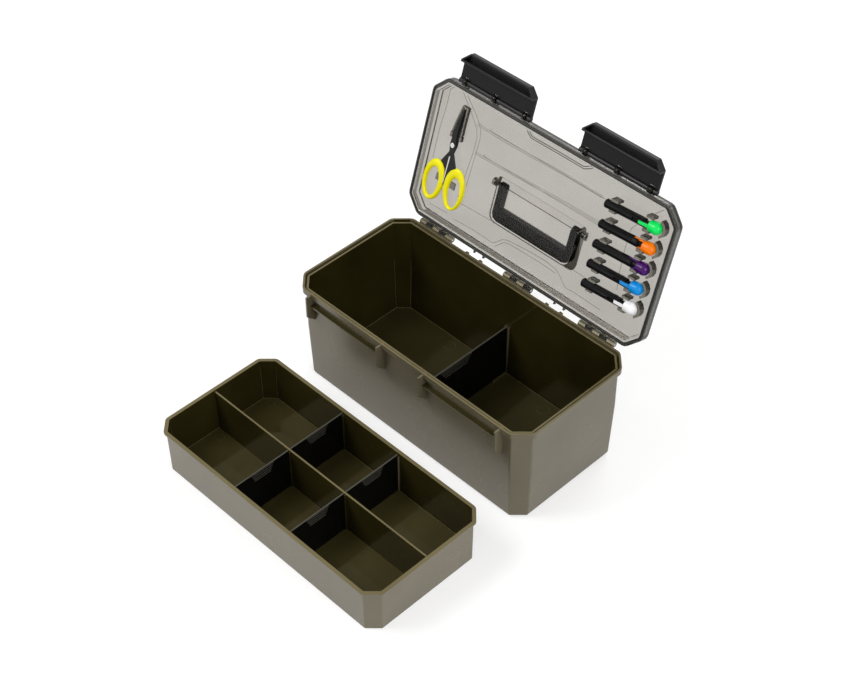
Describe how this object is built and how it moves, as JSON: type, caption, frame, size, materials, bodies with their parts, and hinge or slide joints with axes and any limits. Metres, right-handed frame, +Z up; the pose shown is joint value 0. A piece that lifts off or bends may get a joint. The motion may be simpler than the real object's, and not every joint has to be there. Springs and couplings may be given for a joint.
{
  "type": "tackle box",
  "caption": "Open storage box with a hinged clear lid that holds small tools and scissors, two fold-over latches, a folding carry handle and a divided tray.",
  "frame": {"origin": "centre of the underside of the box body, on the surface that the box stands on", "axes": "+Z up, +X along the box to the right as seen from the front, +Y to the hinge side; the lid stands open and the tray stands in front, at -Y"},
  "size_m": [0.3436, 0.4409, 0.3341],
  "materials": {
    "olive_plastic": "glossy",
    "tray_plastic": "glossy",
    "smoke_plastic": "frosted clear",
    "seal_rubber": "satin",
    "black_plastic": "satin",
    "divider_plastic": "satin",
    "pin_steel": "polished",
    "blade_steel": "black coating",
    "grip_yellow": "glossy",
    "knob_green": "glossy",
    "knob_orange": "glossy",
    "knob_purple": "glossy",
    "knob_blue": "glossy",
    "knob_white": "glossy"
  },
  "bodies": {
    "box": {"box_body": "olive_plastic", "hinge_pin_left": "pin_steel", "hinge_pin_middle": "pin_steel", "hinge_pin_right": "pin_steel"},
    "lid": {"lid": "smoke_plastic", "lid_seal": "seal_rubber", "latch_pin_left": "pin_steel", "latch_pin_right": "pin_steel"},
    "latch_left": {"latch_left": "black_plastic"},
    "latch_right": {"latch_right": "black_plastic"},
    "handle": {"handle": "black_plastic"},
    "box_divider": {"box_divider": "divider_plastic"},
    "tray": {"tray": "tray_plastic"},
    "tray_divider_front_left": {"tray_divider_front_left": "divider_plastic"},
    "tray_divider_front_right": {"tray_divider_front_right": "divider_plastic"},
    "tray_divider_back_left": {"tray_divider_back_left": "divider_plastic"},
    "tray_divider_back_right": {"tray_divider_back_right": "divider_plastic"},
    "tool_1": {"tool_1_barrel": "black_plastic"},
    "tool_2": {"tool_2_barrel": "black_plastic"},
    "tool_3": {"tool_3_barrel": "black_plastic"},
    "tool_4": {"tool_4_barrel": "black_plastic"},
    "tool_5": {"tool_5_barrel": "black_plastic"},
    "tool_1_plunger": {"tool_1_knob": "knob_green", "tool_1_needle": "pin_steel"},
    "tool_2_plunger": {"tool_2_knob": "knob_orange", "tool_2_needle": "pin_steel"},
    "tool_3_plunger": {"tool_3_knob": "knob_purple", "tool_3_needle": "pin_steel"},
    "tool_4_plunger": {"tool_4_knob": "knob_blue", "tool_4_needle": "pin_steel"},
    "tool_5_plunger": {"tool_5_knob": "knob_white", "tool_5_needle": "pin_steel"},
    "scissors": {"scissors_blade_left": "blade_steel", "scissors_grip_left": "grip_yellow", "scissors_rivet": "pin_steel"},
    "scissors_arm": {"scissors_blade_right": "blade_steel", "scissors_grip_right": "grip_yellow"}
  },
  "joints": [
    {"name": "lid_hinge", "type": "hinge", "parent": "box", "child": "lid", "pos_m": [0, 0.0878, 0.1313], "axis": [-1, 0, 0], "range_deg": [-107.5, 0]},
    {"name": "latch_left_hinge", "type": "hinge", "parent": "lid", "child": "latch_left", "pos_m": [-0.086, 0.14115, 0.30049], "axis": [-1, 0, 0], "range_deg": [-90, 0]},
    {"name": "latch_right_hinge", "type": "hinge", "parent": "lid", "child": "latch_right", "pos_m": [0.086, 0.14115, 0.30049], "axis": [-1, 0, 0], "range_deg": [-90, 0]},
    {"name": "handle_hinge", "type": "hinge", "parent": "lid", "child": "handle", "pos_m": [0, 0.12273, 0.21182], "axis": [1, 0, 0], "range_deg": [0, 90]},
    {"name": "box_divider_lift", "type": "slide", "parent": "box", "child": "box_divider", "axis": [0, 0, 1], "range_m": [0, 0.075]},
    {"name": "tray_lift", "type": "slide", "parent": "box", "child": "tray", "axis": [0, 0, 1], "range_m": [0, 0.12]},
    {"name": "tray_divider_front_left_lift", "type": "slide", "parent": "tray", "child": "tray_divider_front_left", "axis": [0, 0, 1], "range_m": [0, 0.05]},
    {"name": "tray_divider_front_right_lift", "type": "slide", "parent": "tray", "child": "tray_divider_front_right", "axis": [0, 0, 1], "range_m": [0, 0.05]},
    {"name": "tray_divider_back_left_lift", "type": "slide", "parent": "tray", "child": "tray_divider_back_left", "axis": [0, 0, 1], "range_m": [0, 0.05]},
    {"name": "tray_divider_back_right_lift", "type": "slide", "parent": "tray", "child": "tray_divider_back_right", "axis": [0, 0, 1], "range_m": [0, 0.05]},
    {"name": "tool_1_pull", "type": "slide", "parent": "lid", "child": "tool_1", "axis": [0, -0.9537, 0.3007], "range_m": [0, 0.03]},
    {"name": "tool_2_pull", "type": "slide", "parent": "lid", "child": "tool_2", "axis": [0, -0.9537, 0.3007], "range_m": [0, 0.03]},
    {"name": "tool_3_pull", "type": "slide", "parent": "lid", "child": "tool_3", "axis": [0, -0.9537, 0.3007], "range_m": [0, 0.03]},
    {"name": "tool_4_pull", "type": "slide", "parent": "lid", "child": "tool_4", "axis": [0, -0.9537, 0.3007], "range_m": [0, 0.03]},
    {"name": "tool_5_pull", "type": "slide", "parent": "lid", "child": "tool_5", "axis": [0, -0.9537, 0.3007], "range_m": [0, 0.03]},
    {"name": "tool_1_press", "type": "slide", "parent": "tool_1", "child": "tool_1_plunger", "axis": [-0.9983, -0.0173, -0.0549], "range_m": [0, 0.008], "stiffness_N_per_m": 150, "springref_m": -0.002},
    {"name": "tool_2_press", "type": "slide", "parent": "tool_2", "child": "tool_2_plunger", "axis": [-0.9983, -0.0173, -0.0549], "range_m": [0, 0.008], "stiffness_N_per_m": 150, "springref_m": -0.002},
    {"name": "tool_3_press", "type": "slide", "parent": "tool_3", "child": "tool_3_plunger", "axis": [-0.9983, -0.0173, -0.0549], "range_m": [0, 0.008], "stiffness_N_per_m": 150, "springref_m": -0.002},
    {"name": "tool_4_press", "type": "slide", "parent": "tool_4", "child": "tool_4_plunger", "axis": [-0.9983, -0.0173, -0.0549], "range_m": [0, 0.008], "stiffness_N_per_m": 150, "springref_m": -0.002},
    {"name": "tool_5_press", "type": "slide", "parent": "tool_5", "child": "tool_5_plunger", "axis": [-0.9983, -0.0173, -0.0549], "range_m": [0, 0.008], "stiffness_N_per_m": 150, "springref_m": -0.002},
    {"name": "scissors_pull", "type": "slide", "parent": "lid", "child": "scissors", "axis": [0, -0.9537, 0.3007], "range_m": [0, 0.08]},
    {"name": "scissors_open", "type": "hinge", "parent": "scissors", "child": "scissors_arm", "pos_m": [-0.1307, 0.12448, 0.22469], "axis": [0, -0.9537, 0.3007], "range_deg": [0, 25]}
  ],
  "couplings": [
    {"joint": "scissors_open", "follows": "scissors_pull", "rad_per_m": 5.236}
  ]
}
